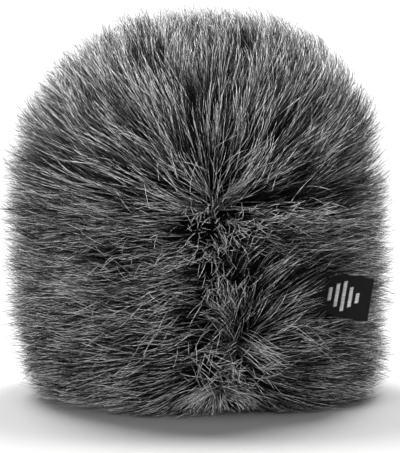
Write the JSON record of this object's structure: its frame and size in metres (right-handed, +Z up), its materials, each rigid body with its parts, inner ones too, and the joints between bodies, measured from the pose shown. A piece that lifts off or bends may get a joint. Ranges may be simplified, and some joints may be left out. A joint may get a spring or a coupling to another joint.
{
  "type": "furry windscreen",
  "caption": "Slip-on domed fur wind cover for a compact stereo microphone, foam-lined, with an elastic mouth and a flag label.",
  "frame": {"origin": "centre of the base, on the plane that the cover stands on, under the dome's axis", "axes": "+Z up along the dome's axis, -Y the front with the seam a little right of centre, +X the front's right"},
  "size_m": [0.098, 0.098, 0.1],
  "materials": {
    "fur": "long synthetic pile, soft sheen",
    "backing_knit": "matt knit",
    "foam": "matt open-cell foam",
    "lining_knit": "matt fine knit",
    "stretch_cloth": "matt stretch knit",
    "binding_tape": "ribbed tape, slight sheen",
    "elastic": "covered elastic",
    "thread": "polyester thread",
    "label_tape": "dense woven tape",
    "emblem_yarn": "raised woven yarn"
  },
  "bodies": {
    "cover": {"crown_pile": "fur", "crown_backing": "backing_knit", "right_side_pile": "fur", "right_side_backing": "backing_knit", "left_side_pile": "fur", "left_side_backing": "backing_knit", "foam_cap": "foam", "foam_sleeve": "foam", "lining_cap": "lining_knit", "lining_sleeve": "lining_knit", "base_panel": "stretch_cloth", "mouth_binding": "binding_tape", "mouth_elastic": "elastic", "front_seam_thread": "thread", "back_seam_thread": "thread", "crown_seam_thread": "thread", "base_seam_thread": "thread", "binding_stitches": "thread", "label_tack_thread": "thread"},
    "label": {"woven_label": "label_tape", "label_emblem": "emblem_yarn"}
  },
  "joints": [
    {"name": "label_flex", "type": "hinge", "parent": "cover", "child": "label", "pos_m": [0.02, -0.0283, 0.0328], "axis": [-0.165, 0, -0.9863], "range_deg": [0, 40], "stiffness_Nm_per_rad": 0.0002}
  ]
}
